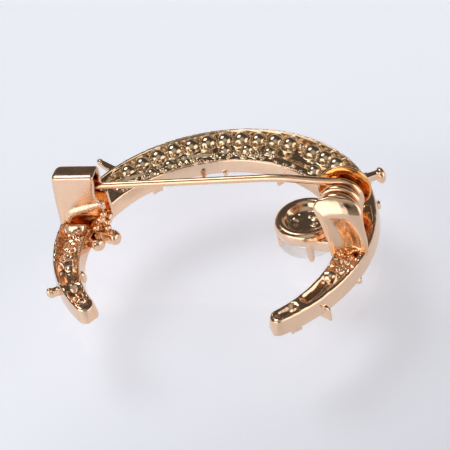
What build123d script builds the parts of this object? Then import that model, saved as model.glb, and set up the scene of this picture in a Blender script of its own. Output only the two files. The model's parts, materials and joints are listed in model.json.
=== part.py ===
from build123d import *

import os
from math import asin, atan2, cos, degrees, pi, radians, sin, sqrt, tan

os.makedirs("parts", exist_ok=True)

# A crescent brooch, lying on its jewelled face. Millimetres. +X runs from the catch to the hinge,
# +Z points from the jewelled face to the back, and the face rests on Z = 0.
# Polar angles are about the centre of the crescent's outer circle, counter-clockwise from +X.

# crescent
OUTER_R = 22.5
INNER_R = 17.75
INNER_Y = -3.15
END_LEFT = 232.5
END_RIGHT = -58.0
FACE_Z = 2.3
BACK_Z = 4.6
DRAFT = 0.28
SKIN = 0.7
END_ROUND = 0.6
WALL = 0.55

# stones in rows
BIG_STONE_R = 1.05
SMALL_STONE_R = 0.72
STONE_GAP = 0.03
SEAT_WALL = 0.22
STONE_TABLE_Z = 0.45
CROWN = 0.42
GIRDLE = 0.12
PAVILION = 0.8
ROW_R = 20.45
ROW_LEFT = [140.5 - 7.2 * i for i in range(11)]
ROW_RIGHT = [57.0 - 7.0 * i for i in range(4)]
INNER_SEATS = [(134.0, 17.4), (124.3, 17.3), (96.7, 18.0), (85.5, 17.9), (74.2, 18.0), (46.5, 17.6)]
LIMB_SEATS = [(-177.4, 21.1), (-172.9, 21.1), (-163.7, 19.7), (-157.7, 20.5), (-137.0, 21.0),
              (-28.2, 19.9), (-49.5, 20.8), (14.5, 21.2)]

# crystal in its cup, inside the ring by the hinge
CUP_X = 12.9
CUP_Y = 1.3
CUP_R = 4.5
CUP_FLOOR_Z = 3.2
CUP_FACE_Z = 2.5
CUP_BACK_Z = BACK_Z
CRYSTAL_R = 4.3
CRYSTAL_CROWN = 0.3
CRYSTAL_PAVILION = 0.2
CLAW_R = 0.42

# star points that stand out past the crescent: angle, inner radius, outer radius, half width
POINTS = [(143.0, 20.0, 25.9, 1.3), (29.8, 20.0, 26.0, 1.1), (-147.0, 19.5, 23.5, 1.0),
          (-39.5, 20.0, 23.8, 0.7), (109.0, 17.0, 12.9, 0.8), (60.0, 17.0, 13.6, 0.8)]
POINT_LOW = 1.4
POINT_HIGH = 3.4

# hinge
AXIS_X = 18.2
AXIS_Z = BACK_Z + 3.8
WIRE_R = 0.55
COIL_R = 2.5
COIL_PITCH = 1.6
COIL_TURNS = 2.5
NEEDLE_Y = 1.0
POST_R = COIL_R - WIRE_R - 0.06
STUB_R = 0.7
EAR_T = 0.8
EAR_R = 3.45
BACK_EAR_Y = 2.55
FRONT_EAR_Y = -4.35
FRONT_EAR_LEAN = 15.0
EAR_FOOT = 3.0

# needle: a slight bend near the coil, then straight to the point
NEEDLE_R = 0.5
NEEDLE_Z = AXIS_Z + COIL_R + 0.7
BEND_X = 8.0
TAPER_X = -12.0
TIP_X = -19.4
TIP_Z = AXIS_Z + COIL_R - 0.5
TAPER_Z = NEEDLE_Z + (TIP_Z - NEEDLE_Z) * (BEND_X - TAPER_X) / (BEND_X - TIP_X)

# catch
CATCH_LEFT = -22.3
CATCH_RIGHT = -15.3
CATCH_FRONT = -0.5
CATCH_DEPTH = 3.1
CATCH_TOP = BACK_Z + 8.6
CATCH_SHEET = 0.62
MOUTH_LEFT = -20.4
MOUTH_TOP = BACK_Z + 2.9
MOUTH_ROUND = 1.9


def on_ring(angle, radius):
    return radius * cos(radians(angle)), radius * sin(radians(angle))


def inner_radius(angle):
    # distance from the outer circle's centre to the inner circle along this angle
    along = INNER_Y * sin(radians(angle))
    return along + sqrt(INNER_R**2 - INNER_Y**2 + along**2)


def band(start, stop, inside, outside):
    # strip that follows the crescent at the back's height; inside and outside give the radius at an angle
    steps = max(6, int(abs(stop - start) / 4))
    angles = [start + (stop - start) * i / steps for i in range(steps + 1)]
    outer = [on_ring(a, outside(a)) for a in angles]
    inner = [on_ring(a, inside(a)) for a in reversed(angles)]
    with BuildSketch(Plane.XY.offset(BACK_Z)) as strip:
        with BuildLine():
            Spline(*outer)
            Line(outer[-1], inner[0])
            Spline(*inner)
            Line(inner[-1], outer[0])
        make_face()
    return strip.sketch


def pocket(start, stop, inside, outside, depth):
    extrude(band(start, stop, inside, outside), amount=-depth, mode=Mode.SUBTRACT)


def seats():
    rows = [(a, ROW_R, BIG_STONE_R) for a in ROW_LEFT + ROW_RIGHT]
    return rows + [(a, r, SMALL_STONE_R) for a, r in INNER_SEATS + LIMB_SEATS]


def boss(angle, radius, stone_r, top):
    # rounded underside of a stone's seat, seen in the hollow back
    x, y = on_ring(angle, radius)
    size = stone_r + 0.12
    with Locations((x, y, FACE_Z + 0.2)):
        Cylinder(size, top - size - FACE_Z - 0.2, align=(Align.CENTER, Align.CENTER, Align.MIN))
    with Locations((x, y, top - size)):
        Sphere(size)


def collar(angle, radius, stone_r):
    # raised rim on the face round a stone
    x, y = on_ring(angle, radius)
    low = STONE_TABLE_Z + 0.25
    with Locations((x, y, low)):
        Cylinder(stone_r + SEAT_WALL, FACE_Z - low + 0.1, align=(Align.CENTER, Align.CENTER, Align.MIN))


def stone_profile(x, y, size, table_z, crown, pavilion):
    # half section of a brilliant cut: table, crown, girdle, pavilion
    girdle_low = table_z + crown * size
    girdle_high = girdle_low + GIRDLE * size
    points = [(0, table_z), (0.6 * size, table_z), (size, girdle_low), (size, girdle_high),
              (0, girdle_high + pavilion * size)]
    with BuildSketch(Plane(origin=(x, y, 0), x_dir=(1, 0, 0), z_dir=(0, -1, 0))) as section:
        with BuildLine():
            Polyline(*points, close=True)
        make_face()
    return section.sketch


def stone_space(x, y, size, table_z, crown, pavilion):
    # cuts the seat: the stone with its setting gap, open towards the face
    girdle_high = table_z + (crown + GIRDLE) * size
    wide = size + STONE_GAP
    with Locations((x, y, -1)):
        Cylinder(wide, girdle_high + 1, align=(Align.CENTER, Align.CENTER, Align.MIN), mode=Mode.SUBTRACT)
    with Locations((x, y, girdle_high)):
        Cone(wide, 0.05, pavilion * size + STONE_GAP, align=(Align.CENTER, Align.CENTER, Align.MIN),
             mode=Mode.SUBTRACT)


def star_point(angle, start, end, half):
    # one tapering ray of a star, standing out past the crescent's edge
    a = radians(angle)
    side = (-sin(a) * half, cos(a) * half)
    root = on_ring(angle, start)
    tip = on_ring(angle, end)
    blunt = 0.35
    corners = [(root[0] + side[0], root[1] + side[1]),
               (tip[0] + side[0] * blunt, tip[1] + side[1] * blunt),
               (tip[0] - side[0] * blunt, tip[1] - side[1] * blunt),
               (root[0] - side[0], root[1] - side[1])]
    with BuildSketch(Plane.XY.offset(POINT_LOW)) as ray:
        with BuildLine():
            Polyline(*corners, close=True)
        make_face()
    extrude(ray.sketch, amount=POINT_HIGH - POINT_LOW)


def side_star():
    # flat star on the face of the left limb; two of its points reach into the ring
    with BuildSketch(Plane.XY) as core:
        with Locations((-18.4, 0.6)):
            RegularPolygon(2.6, 8)
    extrude(core.sketch, amount=FACE_Z + 0.1)
    for angle, length in ((-20.0, 5.0), (-62.0, 4.3), (24.0, 3.9), (70.0, 4.4), (205.0, 4.6), (160.0, 4.4)):
        a = radians(angle)
        side = (-sin(a) * 0.85, cos(a) * 0.85)
        tip = (-18.4 + length * cos(a), 0.6 + length * sin(a))
        corners = [(-18.4 + side[0], 0.6 + side[1]), (tip[0] + side[0] * 0.4, tip[1] + side[1] * 0.4),
                   (tip[0] - side[0] * 0.4, tip[1] - side[1] * 0.4), (-18.4 - side[0], 0.6 - side[1])]
        with BuildSketch(Plane.XY.offset(1.5)) as ray:
            with BuildLine():
                Polyline(*corners, close=True)
            make_face()
        extrude(ray.sketch, amount=1.9)


# ---- the casting -------------------------------------------------------------------------------
with BuildPart() as crescent_frame:
    with BuildSketch(Plane.XY.offset(FACE_Z)) as crescent:
        Circle(OUTER_R + DRAFT)
        with Locations((0, INNER_Y)):
            Circle(INNER_R - DRAFT, mode=Mode.SUBTRACT)
        with BuildLine():
            Polyline((0, 0), on_ring(END_LEFT, 40), (0, -60), on_ring(END_RIGHT, 40), close=True)
        make_face(mode=Mode.SUBTRACT)
        fillet(crescent.vertices(), END_ROUND)
    extrude(amount=BACK_Z - FACE_Z, taper=degrees(atan2(DRAFT, BACK_Z - FACE_Z)))

    # hollow back: deep outer channel, shallow inner ledge, and pockets along both limbs
    pocket(151, 28, lambda a: 18.75, lambda a: OUTER_R - WALL, BACK_Z - FACE_Z - SKIN)
    pocket(146, 34, lambda a: inner_radius(a) + 0.55, lambda a: 18.3, 0.8)
    pocket(-176, -154, lambda a: inner_radius(a) + 0.4, lambda a: OUTER_R - 0.7, 1.5)
    pocket(-153, -144, lambda a: inner_radius(a) + 0.4, lambda a: OUTER_R - 0.7, 1.6)
    pocket(-142.5, -130.5, lambda a: inner_radius(a) + 0.4, lambda a: OUTER_R - 0.6, 1.2)
    pocket(-23, -42, lambda a: inner_radius(a) + 0.35, lambda a: OUTER_R - 0.8, 1.6)
    pocket(-44, -55.5, lambda a: inner_radius(a) + 0.3, lambda a: OUTER_R - 0.8, 1.5)

    for angle, radius, stone_r in seats():
        boss(angle, radius, stone_r, top=BACK_Z - (0.35 if stone_r == BIG_STONE_R else 0.55))
        collar(angle, radius, stone_r)
    for where in POINTS:
        star_point(*where)
    side_star()

    # cup for the crystal, with its bridge to the limb and four claws
    with Locations((CUP_X, CUP_Y, CUP_FACE_Z)):
        Cylinder(CUP_R, CUP_BACK_Z - CUP_FACE_Z, align=(Align.CENTER, Align.CENTER, Align.MIN))
    with Locations((CUP_X, CUP_Y, CUP_FLOOR_Z)):
        Cylinder(CUP_R - 0.6, 3, align=(Align.CENTER, Align.CENTER, Align.MIN), mode=Mode.SUBTRACT)
    with Locations((15.0, -1.4, 2.5)):
        Box(5.2, 2.6, 1.6, align=(Align.CENTER, Align.CENTER, Align.MIN))
    with Locations((17.4, 3.2, 2.5)):
        Box(1.4, 4.4, 1.9, align=(Align.CENTER, Align.CENTER, Align.MIN))
    for turn in range(4):
        a = radians(25 + 90 * turn)
        with Locations((CUP_X + (CRYSTAL_R + 0.1) * cos(a), CUP_Y + (CRYSTAL_R + 0.1) * sin(a), 0.9)):
            Cylinder(CLAW_R, 2.0, align=(Align.CENTER, Align.CENTER, Align.MIN))

    for angle, radius, stone_r in seats():
        stone_space(*on_ring(angle, radius), stone_r, STONE_TABLE_Z, CROWN, PAVILION)
    stone_space(CUP_X, CUP_Y, CRYSTAL_R, 0.0, CRYSTAL_CROWN, CRYSTAL_PAVILION)


# ---- the catch: a sheet folded over into a hood, closed at its far end ------------------------
with BuildPart() as catch_hood:
    half = CATCH_DEPTH / 2
    with BuildSketch(Plane.YZ.offset(CATCH_LEFT)):
        with BuildLine():
            Polyline((CATCH_FRONT, CATCH_TOP - half), (CATCH_FRONT, BACK_Z),
                     (CATCH_FRONT + CATCH_DEPTH, BACK_Z), (CATCH_FRONT + CATCH_DEPTH, CATCH_TOP - half))
            ThreePointArc((CATCH_FRONT + CATCH_DEPTH, CATCH_TOP - half),
                          (CATCH_FRONT + half, CATCH_TOP), (CATCH_FRONT, CATCH_TOP - half))
        make_face()
    extrude(amount=CATCH_RIGHT - CATCH_LEFT)
    inside = half - CATCH_SHEET
    with BuildSketch(Plane.YZ.offset(CATCH_LEFT + CATCH_SHEET)):
        with BuildLine():
            Polyline((CATCH_FRONT + CATCH_SHEET, CATCH_TOP - half), (CATCH_FRONT + CATCH_SHEET, BACK_Z - 1),
                     (CATCH_FRONT + CATCH_DEPTH - CATCH_SHEET, BACK_Z - 1),
                     (CATCH_FRONT + CATCH_DEPTH - CATCH_SHEET, CATCH_TOP - half))
            ThreePointArc((CATCH_FRONT + CATCH_DEPTH - CATCH_SHEET, CATCH_TOP - half),
                          (CATCH_FRONT + half, CATCH_TOP - CATCH_SHEET),
                          (CATCH_FRONT + CATCH_SHEET, CATCH_TOP - half))
        make_face()
    extrude(amount=20, mode=Mode.SUBTRACT)
    # the mouth under the lip, where the needle comes out sideways
    with BuildSketch(Plane.XZ.offset(-CATCH_FRONT + 1)):
        with BuildLine():
            Polyline((-10, BACK_Z - 1), (MOUTH_LEFT, BACK_Z - 1), (MOUTH_LEFT, MOUTH_TOP - MOUTH_ROUND))
            ThreePointArc((MOUTH_LEFT, MOUTH_TOP - MOUTH_ROUND),
                          (MOUTH_LEFT + MOUTH_ROUND * (1 - cos(pi / 4)), MOUTH_TOP - MOUTH_ROUND * (1 - sin(pi / 4))),
                          (MOUTH_LEFT + MOUTH_ROUND, MOUTH_TOP))
            Polyline((MOUTH_LEFT + MOUTH_ROUND, MOUTH_TOP), (-10, MOUTH_TOP + 0.6), (-10, BACK_Z - 1))
        make_face()
    extrude(amount=-1 - CATCH_SHEET - 0.05, mode=Mode.SUBTRACT)


# ---- the hinge: two ears on one foot, with the post that the coil turns on --------------------
def ear(plane, foot_width, lift):
    # outline of an ear in its own plane: a narrow foot running up into a round head
    reach = asin(foot_width / 2 / EAR_R)
    join_x = EAR_R * sin(reach)
    join_y = lift - EAR_R * cos(reach)
    with BuildSketch(plane) as outline:
        with BuildLine():
            Polyline((join_x, join_y), (foot_width / 2, 0), (-foot_width / 2, 0), (-join_x, join_y))
            ThreePointArc((-join_x, join_y), (0, lift + EAR_R), (join_x, join_y))
        make_face()
    return outline.sketch


with BuildPart() as hinge_bracket:
    lift = AXIS_Z - BACK_Z
    lean = radians(FRONT_EAR_LEAN)
    back = Plane((AXIS_X, BACK_EAR_Y, BACK_Z), x_dir=(-1, 0, 0), z_dir=(0, 1, 0))
    extrude(ear(back, EAR_FOOT, lift), amount=EAR_T / 2, both=True)
    foot_y = FRONT_EAR_Y - lift * tan(lean)
    front = Plane((AXIS_X, foot_y, BACK_Z), x_dir=(1, 0, 0), z_dir=(0, -cos(lean), sin(lean)))
    extrude(ear(front, EAR_FOOT, lift / cos(lean)), amount=EAR_T / 2, both=True)
    # foot plate along the limb, under both ears
    extrude(band(11.5, -19.0, lambda a: inner_radius(a) + 0.7, lambda a: OUTER_R - 0.9), amount=0.5)
    split(bisect_by=Plane.XY.offset(BACK_Z), keep=Keep.TOP)
    with Locations(Location((AXIS_X, 0, AXIS_Z), (90, 0, 0))):
        Cylinder(STUB_R, 20, mode=Mode.SUBTRACT)

with BuildPart() as hinge_post:
    post_front = FRONT_EAR_Y + EAR_T / 2 / cos(lean) + POST_R * tan(lean) + 0.03
    post_back = BACK_EAR_Y - EAR_T / 2
    with BuildSketch(Plane.XZ.offset(-post_back)):
        with Locations((AXIS_X, AXIS_Z)):
            Circle(POST_R)
    extrude(amount=post_back - post_front)
    stub_back = BACK_EAR_Y + EAR_T / 2
    with BuildSketch(Plane.XZ.offset(-stub_back)):
        with Locations((AXIS_X, AXIS_Z)):
            Circle(STUB_R)
    extrude(amount=stub_back - FRONT_EAR_Y - 0.15)


# ---- the pin stem: one wire, coiled at the hinge and running to the catch ----------------------
def wire(start, end, start_r, end_r):
    # round wire from one point to another; the radius may change along it
    run = (end[0] - start[0], end[1] - start[1], end[2] - start[2])
    with BuildSketch(Plane(start, z_dir=run)) as near:
        Circle(start_r)
    with BuildSketch(Plane(end, z_dir=run)) as far:
        Circle(end_r)
    loft([near.sketch, far.sketch])


def knuckle(at, size):
    # rounds the bend between two lengths of wire
    with Locations(at):
        Sphere(size)


with BuildPart() as pin_stem:
    coil_length = COIL_PITCH * COIL_TURNS
    coil_start = (AXIS_X, NEEDLE_Y - coil_length, AXIS_Z)
    with BuildLine(mode=Mode.PRIVATE) as coil_path:
        Helix(COIL_PITCH, coil_length, COIL_R, center=coil_start, direction=(0, 1, 0), lefthand=True)
    # turned half way round, so that the last turn ends on top, where the needle leaves
    coil = coil_path.line.rotate(Axis((AXIS_X, 0, AXIS_Z), (0, 1, 0)), 180)
    with BuildSketch(Plane(coil @ 0, z_dir=coil % 0)) as wire_end:
        Circle(WIRE_R)
    sweep(wire_end.sketch, path=coil, is_frenet=True)
    knuckle(coil @ 0, WIRE_R)
    bends = [(AXIS_X, NEEDLE_Y, AXIS_Z + COIL_R), (BEND_X, NEEDLE_Y, NEEDLE_Z),
             (TAPER_X, NEEDLE_Y, TAPER_Z), (TIP_X, NEEDLE_Y, TIP_Z)]
    radii = [WIRE_R, NEEDLE_R, NEEDLE_R, 0.06]
    for i in range(3):
        wire(bends[i], bends[i + 1], radii[i], radii[i + 1])
    knuckle(bends[0], WIRE_R)
    knuckle(bends[1], NEEDLE_R)


# ---- the stones --------------------------------------------------------------------------------
def cut_stone(x, y, size, table_z, crown, pavilion):
    with BuildPart() as stone:
        revolve(stone_profile(x, y, size, table_z, crown, pavilion), axis=Axis((x, y, 0), (0, 0, 1)))
    return stone.part


nodes = {
    "crescent_frame": crescent_frame.part,
    "catch_hood": catch_hood.part,
    "hinge_bracket": hinge_bracket.part,
    "hinge_post": hinge_post.part,
    "pin_stem": pin_stem.part,
    "crystal": cut_stone(CUP_X, CUP_Y, CRYSTAL_R, 0.0, CRYSTAL_CROWN, CRYSTAL_PAVILION),
}
for number, (angle, radius, stone_r) in enumerate(seats(), 1):
    kind = "large" if stone_r == BIG_STONE_R else "small"
    node = "stone_" + kind + "_" + str(number).zfill(2)
    nodes[node] = cut_stone(*on_ring(angle, radius), stone_r, STONE_TABLE_Z, CROWN, PAVILION)

# the origin is moved to the centre of the whole brooch's outline, on the plane it rests on
boxes = [solid.bounding_box() for solid in nodes.values()]
centre_x = (min(b.min.X for b in boxes) + max(b.max.X for b in boxes)) / 2
centre_y = (min(b.min.Y for b in boxes) + max(b.max.Y for b in boxes)) / 2
for node, solid in nodes.items():
    placed = solid.moved(Location((-centre_x, -centre_y, 0)))
    placed.label = node
    export_step(placed, "parts/" + node + ".step")
print("ring centre is at", round(-centre_x, 6), round(-centre_y, 6))
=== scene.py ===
# %% [markdown]
# # A crescent brooch, lying on its jewelled face
# The brooch is a cast crescent with a hollow back, a pin stem that springs from a coil, and a hooded
# catch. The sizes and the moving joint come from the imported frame.

# %% Load the frame
import json
import math

import bmesh
import bpy
import numpy as np
from mathutils import Matrix, Vector, noise


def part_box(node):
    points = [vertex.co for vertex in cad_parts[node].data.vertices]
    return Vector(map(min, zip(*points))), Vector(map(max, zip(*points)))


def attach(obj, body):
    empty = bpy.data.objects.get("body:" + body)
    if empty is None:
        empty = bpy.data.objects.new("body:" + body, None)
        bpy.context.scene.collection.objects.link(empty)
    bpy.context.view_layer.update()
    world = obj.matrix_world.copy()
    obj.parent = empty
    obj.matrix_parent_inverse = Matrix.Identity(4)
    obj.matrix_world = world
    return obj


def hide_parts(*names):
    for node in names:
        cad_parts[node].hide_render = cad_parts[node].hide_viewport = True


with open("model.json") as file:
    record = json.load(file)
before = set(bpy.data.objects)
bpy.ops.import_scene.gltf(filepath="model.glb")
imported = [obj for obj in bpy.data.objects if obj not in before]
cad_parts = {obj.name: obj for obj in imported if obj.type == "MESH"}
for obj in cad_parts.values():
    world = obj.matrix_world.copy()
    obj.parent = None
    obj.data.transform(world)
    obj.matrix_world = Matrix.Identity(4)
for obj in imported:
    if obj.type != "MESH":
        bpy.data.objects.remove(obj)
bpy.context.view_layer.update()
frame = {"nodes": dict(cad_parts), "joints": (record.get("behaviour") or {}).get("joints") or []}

# %% [markdown]
# A jeweller measures a ring from its centre. All shapes below are made in millimetres from the centre
# of the crescent's outer circle, with height 0 on the rim of the back, and moved to metres at the end.
# The centre, the rim's height and the seats of the stones are read from the frame's own boxes.

# %% Bench units and the ring's centre
MM = 0.001
DRAFT = 0.28
casting_low, casting_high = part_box("crescent_frame")
OUTER_R = (casting_high.x - casting_low.x) / 2 / MM - DRAFT
INNER_R = 17.75
INNER_Y = -3.15
END_RIGHT = -58.0
END_LEFT = 232.5
FACE_Z = -2.3
ring_centre = Vector(((casting_low.x + casting_high.x) / 2,
                      casting_high.y - (OUTER_R + DRAFT) * MM, casting_high.z))
TO_METRES = Matrix.Translation(ring_centre) @ Matrix.Scale(MM, 4)


def on_ring(angle, radius):
    return radius * np.cos(np.radians(angle)), radius * np.sin(np.radians(angle))


def inner_radius(angle):
    # how far the crescent's inner edge is from the centre, along this angle
    along = INNER_Y * np.sin(np.radians(angle))
    return along + np.sqrt(INNER_R**2 - INNER_Y**2 + along**2)


def rise(x, start, stop):
    # goes smoothly from 0 at start to 1 at stop
    t = np.clip((x - start) / (stop - start), 0, 1)
    return t * t * (3 - 2 * t)


def seat_of(node):
    low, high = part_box(node)
    middle = ((low + high) / 2 - ring_centre) / MM
    return middle.x, middle.y, (high.x - low.x) / 2 / MM


STONES = sorted(n for n in frame["nodes"] if n.startswith("stone_"))
SEATS = [seat_of(n) for n in STONES]
print("outer radius", round(OUTER_R, 2), "mm;", len(SEATS), "stone seats")

# %% [markdown]
# Most pieces here start as rings of points with faces between them. A lathe spins a profile, a block is
# two rings one above the other, and a skin runs over any rings and closes both ends. Blender has
# operators for these, but points from a list keep every size in sight.

# %% Skins over rings of points


def new_piece(name, verts, faces):
    mesh = bpy.data.meshes.new(name)
    mesh.from_pydata([tuple(v) for v in verts], [], faces)
    piece = bpy.data.objects.new(name, mesh)
    bpy.context.scene.collection.objects.link(piece)
    return piece


def outward(piece):
    # merges doubles and turns every face outwards
    work = bmesh.new()
    work.from_mesh(piece.data)
    bmesh.ops.remove_doubles(work, verts=work.verts, dist=1e-4)
    bmesh.ops.recalc_face_normals(work, faces=work.faces)
    work.to_mesh(piece.data)
    work.free()
    return piece


def grid_faces(rows, columns, close_rows=False, close_columns=False):
    faces = []
    for i in range(rows if close_rows else rows - 1):
        for j in range(columns if close_columns else columns - 1):
            k, m = (i + 1) % rows, (j + 1) % columns
            faces.append((i * columns + j, i * columns + m, k * columns + m, k * columns + j))
    return faces


def skin(name, rings):
    # a closed skin over rings of points, capped at both ends
    rows, columns = len(rings), len(rings[0])
    verts = [p for ring in rings for p in ring]
    faces = grid_faces(rows, columns, close_columns=True)
    faces.append(tuple(range(columns)))
    faces.append(tuple((rows - 1) * columns + j for j in range(columns)))
    return outward(new_piece(name, verts, faces))


def lathe(name, profile, centre, sides=48):
    # spins (radius, height) points about an upright axis through centre; both ends are on the axis
    rings = []
    for radius, height in profile:
        turn = [2 * math.pi * j / sides for j in range(sides)]
        rings.append([(centre[0] + max(radius, 0.001) * math.cos(t),
                       centre[1] + max(radius, 0.001) * math.sin(t), height) for t in turn])
    return skin(name, rings)


def block(name, corners, low, high):
    # an upright prism over a few corners
    rings = [[(x, y, low) for x, y in corners], [(x, y, high) for x, y in corners]]
    return skin(name, rings)


# %% [markdown]
# A caster's wax is many bits stuck together, and the mould makes them one. Here overlapping solids are
# joined by a voxel remesh, smoothed a little, and thinned if they have too many faces. A boolean union
# would keep hard seams, which a casting doesn't have.

# %% Melting solids together


def drop(piece):
    mesh = piece.data
    bpy.data.objects.remove(piece)
    if mesh.users == 0:
        bpy.data.meshes.remove(mesh)


def bake(piece):
    # turns the modifiers' result into the piece's own plain mesh
    graph = bpy.context.evaluated_depsgraph_get()
    result = bpy.data.meshes.new_from_object(piece.evaluated_get(graph))
    piece.modifiers.clear()
    piece.data = result
    return piece


def melt(name, pieces, voxel, smoothing, triangles):
    # casts several overlapping solids into one skin, softens it and thins it
    work = bmesh.new()
    for piece in pieces:
        work.from_mesh(piece.data)
        drop(piece)
    mesh = bpy.data.meshes.new(name)
    work.to_mesh(mesh)
    work.free()
    cast = bpy.data.objects.new(name, mesh)
    bpy.context.scene.collection.objects.link(cast)
    remesh = cast.modifiers.new("one skin", "REMESH")
    remesh.mode = "VOXEL"
    remesh.voxel_size = voxel
    soften = cast.modifiers.new("soften", "SMOOTH")
    soften.factor = 0.5
    soften.iterations = smoothing
    bake(cast)
    now = 2 * len(cast.data.polygons)
    if now > triangles:
        thin = cast.modifiers.new("thin", "DECIMATE")
        thin.ratio = triangles / now
        bake(cast)
    print(name, "melted into", len(cast.data.polygons), "faces")
    return cast


# %% [markdown]
# Bosses, collars, prongs, casting grains and stones all repeat. One small Geometry Nodes tree serves
# all of them but the collars, which are built one by one: it puts a shape on each point, scaled by the
# point's own size, and makes the copies real. Its inputs have names, so the same tree can be dialled for
# each use.

# %% Geometry Nodes: a shape on every point


def repeating_tree():
    tree = bpy.data.node_groups.new("shape on every point", "GeometryNodeTree")
    face = tree.interface
    face.new_socket("Points", in_out="INPUT", socket_type="NodeSocketGeometry")
    face.new_socket("Shape", in_out="INPUT", socket_type="NodeSocketObject")
    face.new_socket("Size factor", in_out="INPUT", socket_type="NodeSocketFloat").default_value = 1.0
    face.new_socket("Finish", in_out="INPUT", socket_type="NodeSocketMaterial")
    face.new_socket("Copies", in_out="OUTPUT", socket_type="NodeSocketGeometry")
    node, link = tree.nodes.new, tree.links.new
    given = node("NodeGroupInput")
    shape = node("GeometryNodeObjectInfo")
    size = node("GeometryNodeInputNamedAttribute")
    size.data_type = "FLOAT"
    size.inputs["Name"].default_value = "size"
    scaled = node("ShaderNodeMath")
    scaled.operation = "MULTIPLY"
    copies = node("GeometryNodeInstanceOnPoints")
    real = node("GeometryNodeRealizeInstances")
    finish = node("GeometryNodeSetMaterial")
    out = node("NodeGroupOutput")
    link(given.outputs["Shape"], shape.inputs["Object"])
    link(size.outputs["Attribute"], scaled.inputs[0])
    link(given.outputs["Size factor"], scaled.inputs[1])
    link(given.outputs["Points"], copies.inputs["Points"])
    link(shape.outputs["Geometry"], copies.inputs["Instance"])
    link(scaled.outputs["Value"], copies.inputs["Scale"])
    link(copies.outputs["Instances"], real.inputs["Geometry"])
    link(real.outputs["Geometry"], finish.inputs["Geometry"])
    link(given.outputs["Finish"], finish.inputs["Material"])
    link(finish.outputs["Geometry"], out.inputs["Copies"])
    return tree


REPEATING = repeating_tree()
print("tree with inputs", [i.name for i in REPEATING.interface.items_tree if i.in_out == "INPUT"])


def repeat(name, places, shape, material=None, factor=1.0):
    # places is a list of (x, y, z, size); shape is used up
    piece = new_piece(name, [p[:3] for p in places], [])
    size = piece.data.attributes.new("size", "FLOAT", "POINT")
    size.data.foreach_set("value", [float(p[3]) for p in places])
    modifier = piece.modifiers.new("repeat", "NODES")
    modifier.node_group = REPEATING
    inputs = {s.name: s.identifier for s in REPEATING.interface.items_tree if s.in_out == "INPUT"}
    modifier[inputs["Shape"]] = shape
    modifier[inputs["Size factor"]] = factor
    modifier[inputs["Finish"]] = material
    bake(piece)
    drop(shape)
    print(name, "has", len(places), "copies")
    return piece


def ball(sides=20):
    return lathe("ball", [(math.sin(math.pi * i / 12), -math.cos(math.pi * i / 12)) for i in range(13)],
                 (0, 0), sides)


# %% [markdown]
# The finish is rose gold plating: a metal whose colour is all in its reflection, so the base colour is
# the plating's and the roughness is low. Castings keep a slight ripple and grain under the plate. Both
# come from noise on Object coordinates, in metres, so they stay put on the piece. Where a piece's own
# attribute hollow is high, the gold takes a second colour, which is painted light: a browner painted
# shade down in the casting's channel and cup, and a deep orange painted reflection where gold is
# mirrored in gold.

# %% Rose gold


def rose_gold(name, colour, rough, ripple, grain, hollow=None):
    material = bpy.data.materials.new(name)
    material.use_nodes = True
    nodes, link = material.node_tree.nodes, material.node_tree.links.new
    shader = nodes["Principled BSDF"]
    shader.inputs["Metallic"].default_value = 1.0
    place = nodes.new("ShaderNodeTexCoord")
    broad = nodes.new("ShaderNodeTexNoise")
    broad.inputs["Scale"].default_value = 600
    broad.inputs["Detail"].default_value = 3
    fine = nodes.new("ShaderNodeTexNoise")
    fine.inputs["Scale"].default_value = 5200
    fine.inputs["Detail"].default_value = 2
    tint = nodes.new("ShaderNodeMixRGB")
    tint.inputs["Color1"].default_value = (*colour, 1)
    tint.inputs["Color2"].default_value = (colour[0] * 1.02, colour[1] * 0.9, colour[2] * 0.82, 1)
    dull = nodes.new("ShaderNodeMapRange")
    dull.inputs["From Min"].default_value = 0.35
    dull.inputs["From Max"].default_value = 0.7
    dull.inputs["To Min"].default_value = rough
    dull.inputs["To Max"].default_value = rough * 1.9
    bumps = nodes.new("ShaderNodeBump")
    bumps.inputs["Strength"].default_value = ripple
    bumps.inputs["Distance"].default_value = 0.00012
    grains = nodes.new("ShaderNodeBump")
    grains.inputs["Strength"].default_value = grain
    grains.inputs["Distance"].default_value = 0.00002
    for pattern in (broad, fine):
        link(place.outputs["Object"], pattern.inputs["Vector"])
    link(broad.outputs["Fac"], tint.inputs["Fac"])
    link(broad.outputs["Fac"], dull.inputs["Value"])
    link(broad.outputs["Fac"], bumps.inputs["Height"])
    link(fine.outputs["Fac"], grains.inputs["Height"])
    link(bumps.outputs["Normal"], grains.inputs["Normal"])
    colour_out = tint.outputs["Color"]
    if hollow:
        # the second colour is painted light: painted shade on the casting, painted reflection in the hood and
        # between the ears
        depth = nodes.new("ShaderNodeAttribute")
        depth.attribute_name = "hollow"
        painted_shade_and_reflection = nodes.new("ShaderNodeMixRGB")
        painted_shade_and_reflection.inputs["Color2"].default_value = (*hollow, 1)
        link(depth.outputs["Fac"], painted_shade_and_reflection.inputs["Fac"])
        link(colour_out, painted_shade_and_reflection.inputs["Color1"])
        colour_out = painted_shade_and_reflection.outputs["Color"]
    link(colour_out, shader.inputs["Base Color"])
    link(dull.outputs["Result"], shader.inputs["Roughness"])
    link(grains.outputs["Normal"], shader.inputs["Normal"])
    return material


PLATE = (0.88, 0.64, 0.46)
# the cast gold's second colour is a painted shade, browner and darker down in the channel and the cup
CAST_GOLD = rose_gold("cast rose gold", (0.86, 0.64, 0.47), 0.1, 0.35, 0.25, hollow=(0.74, 0.575, 0.40))
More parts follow.
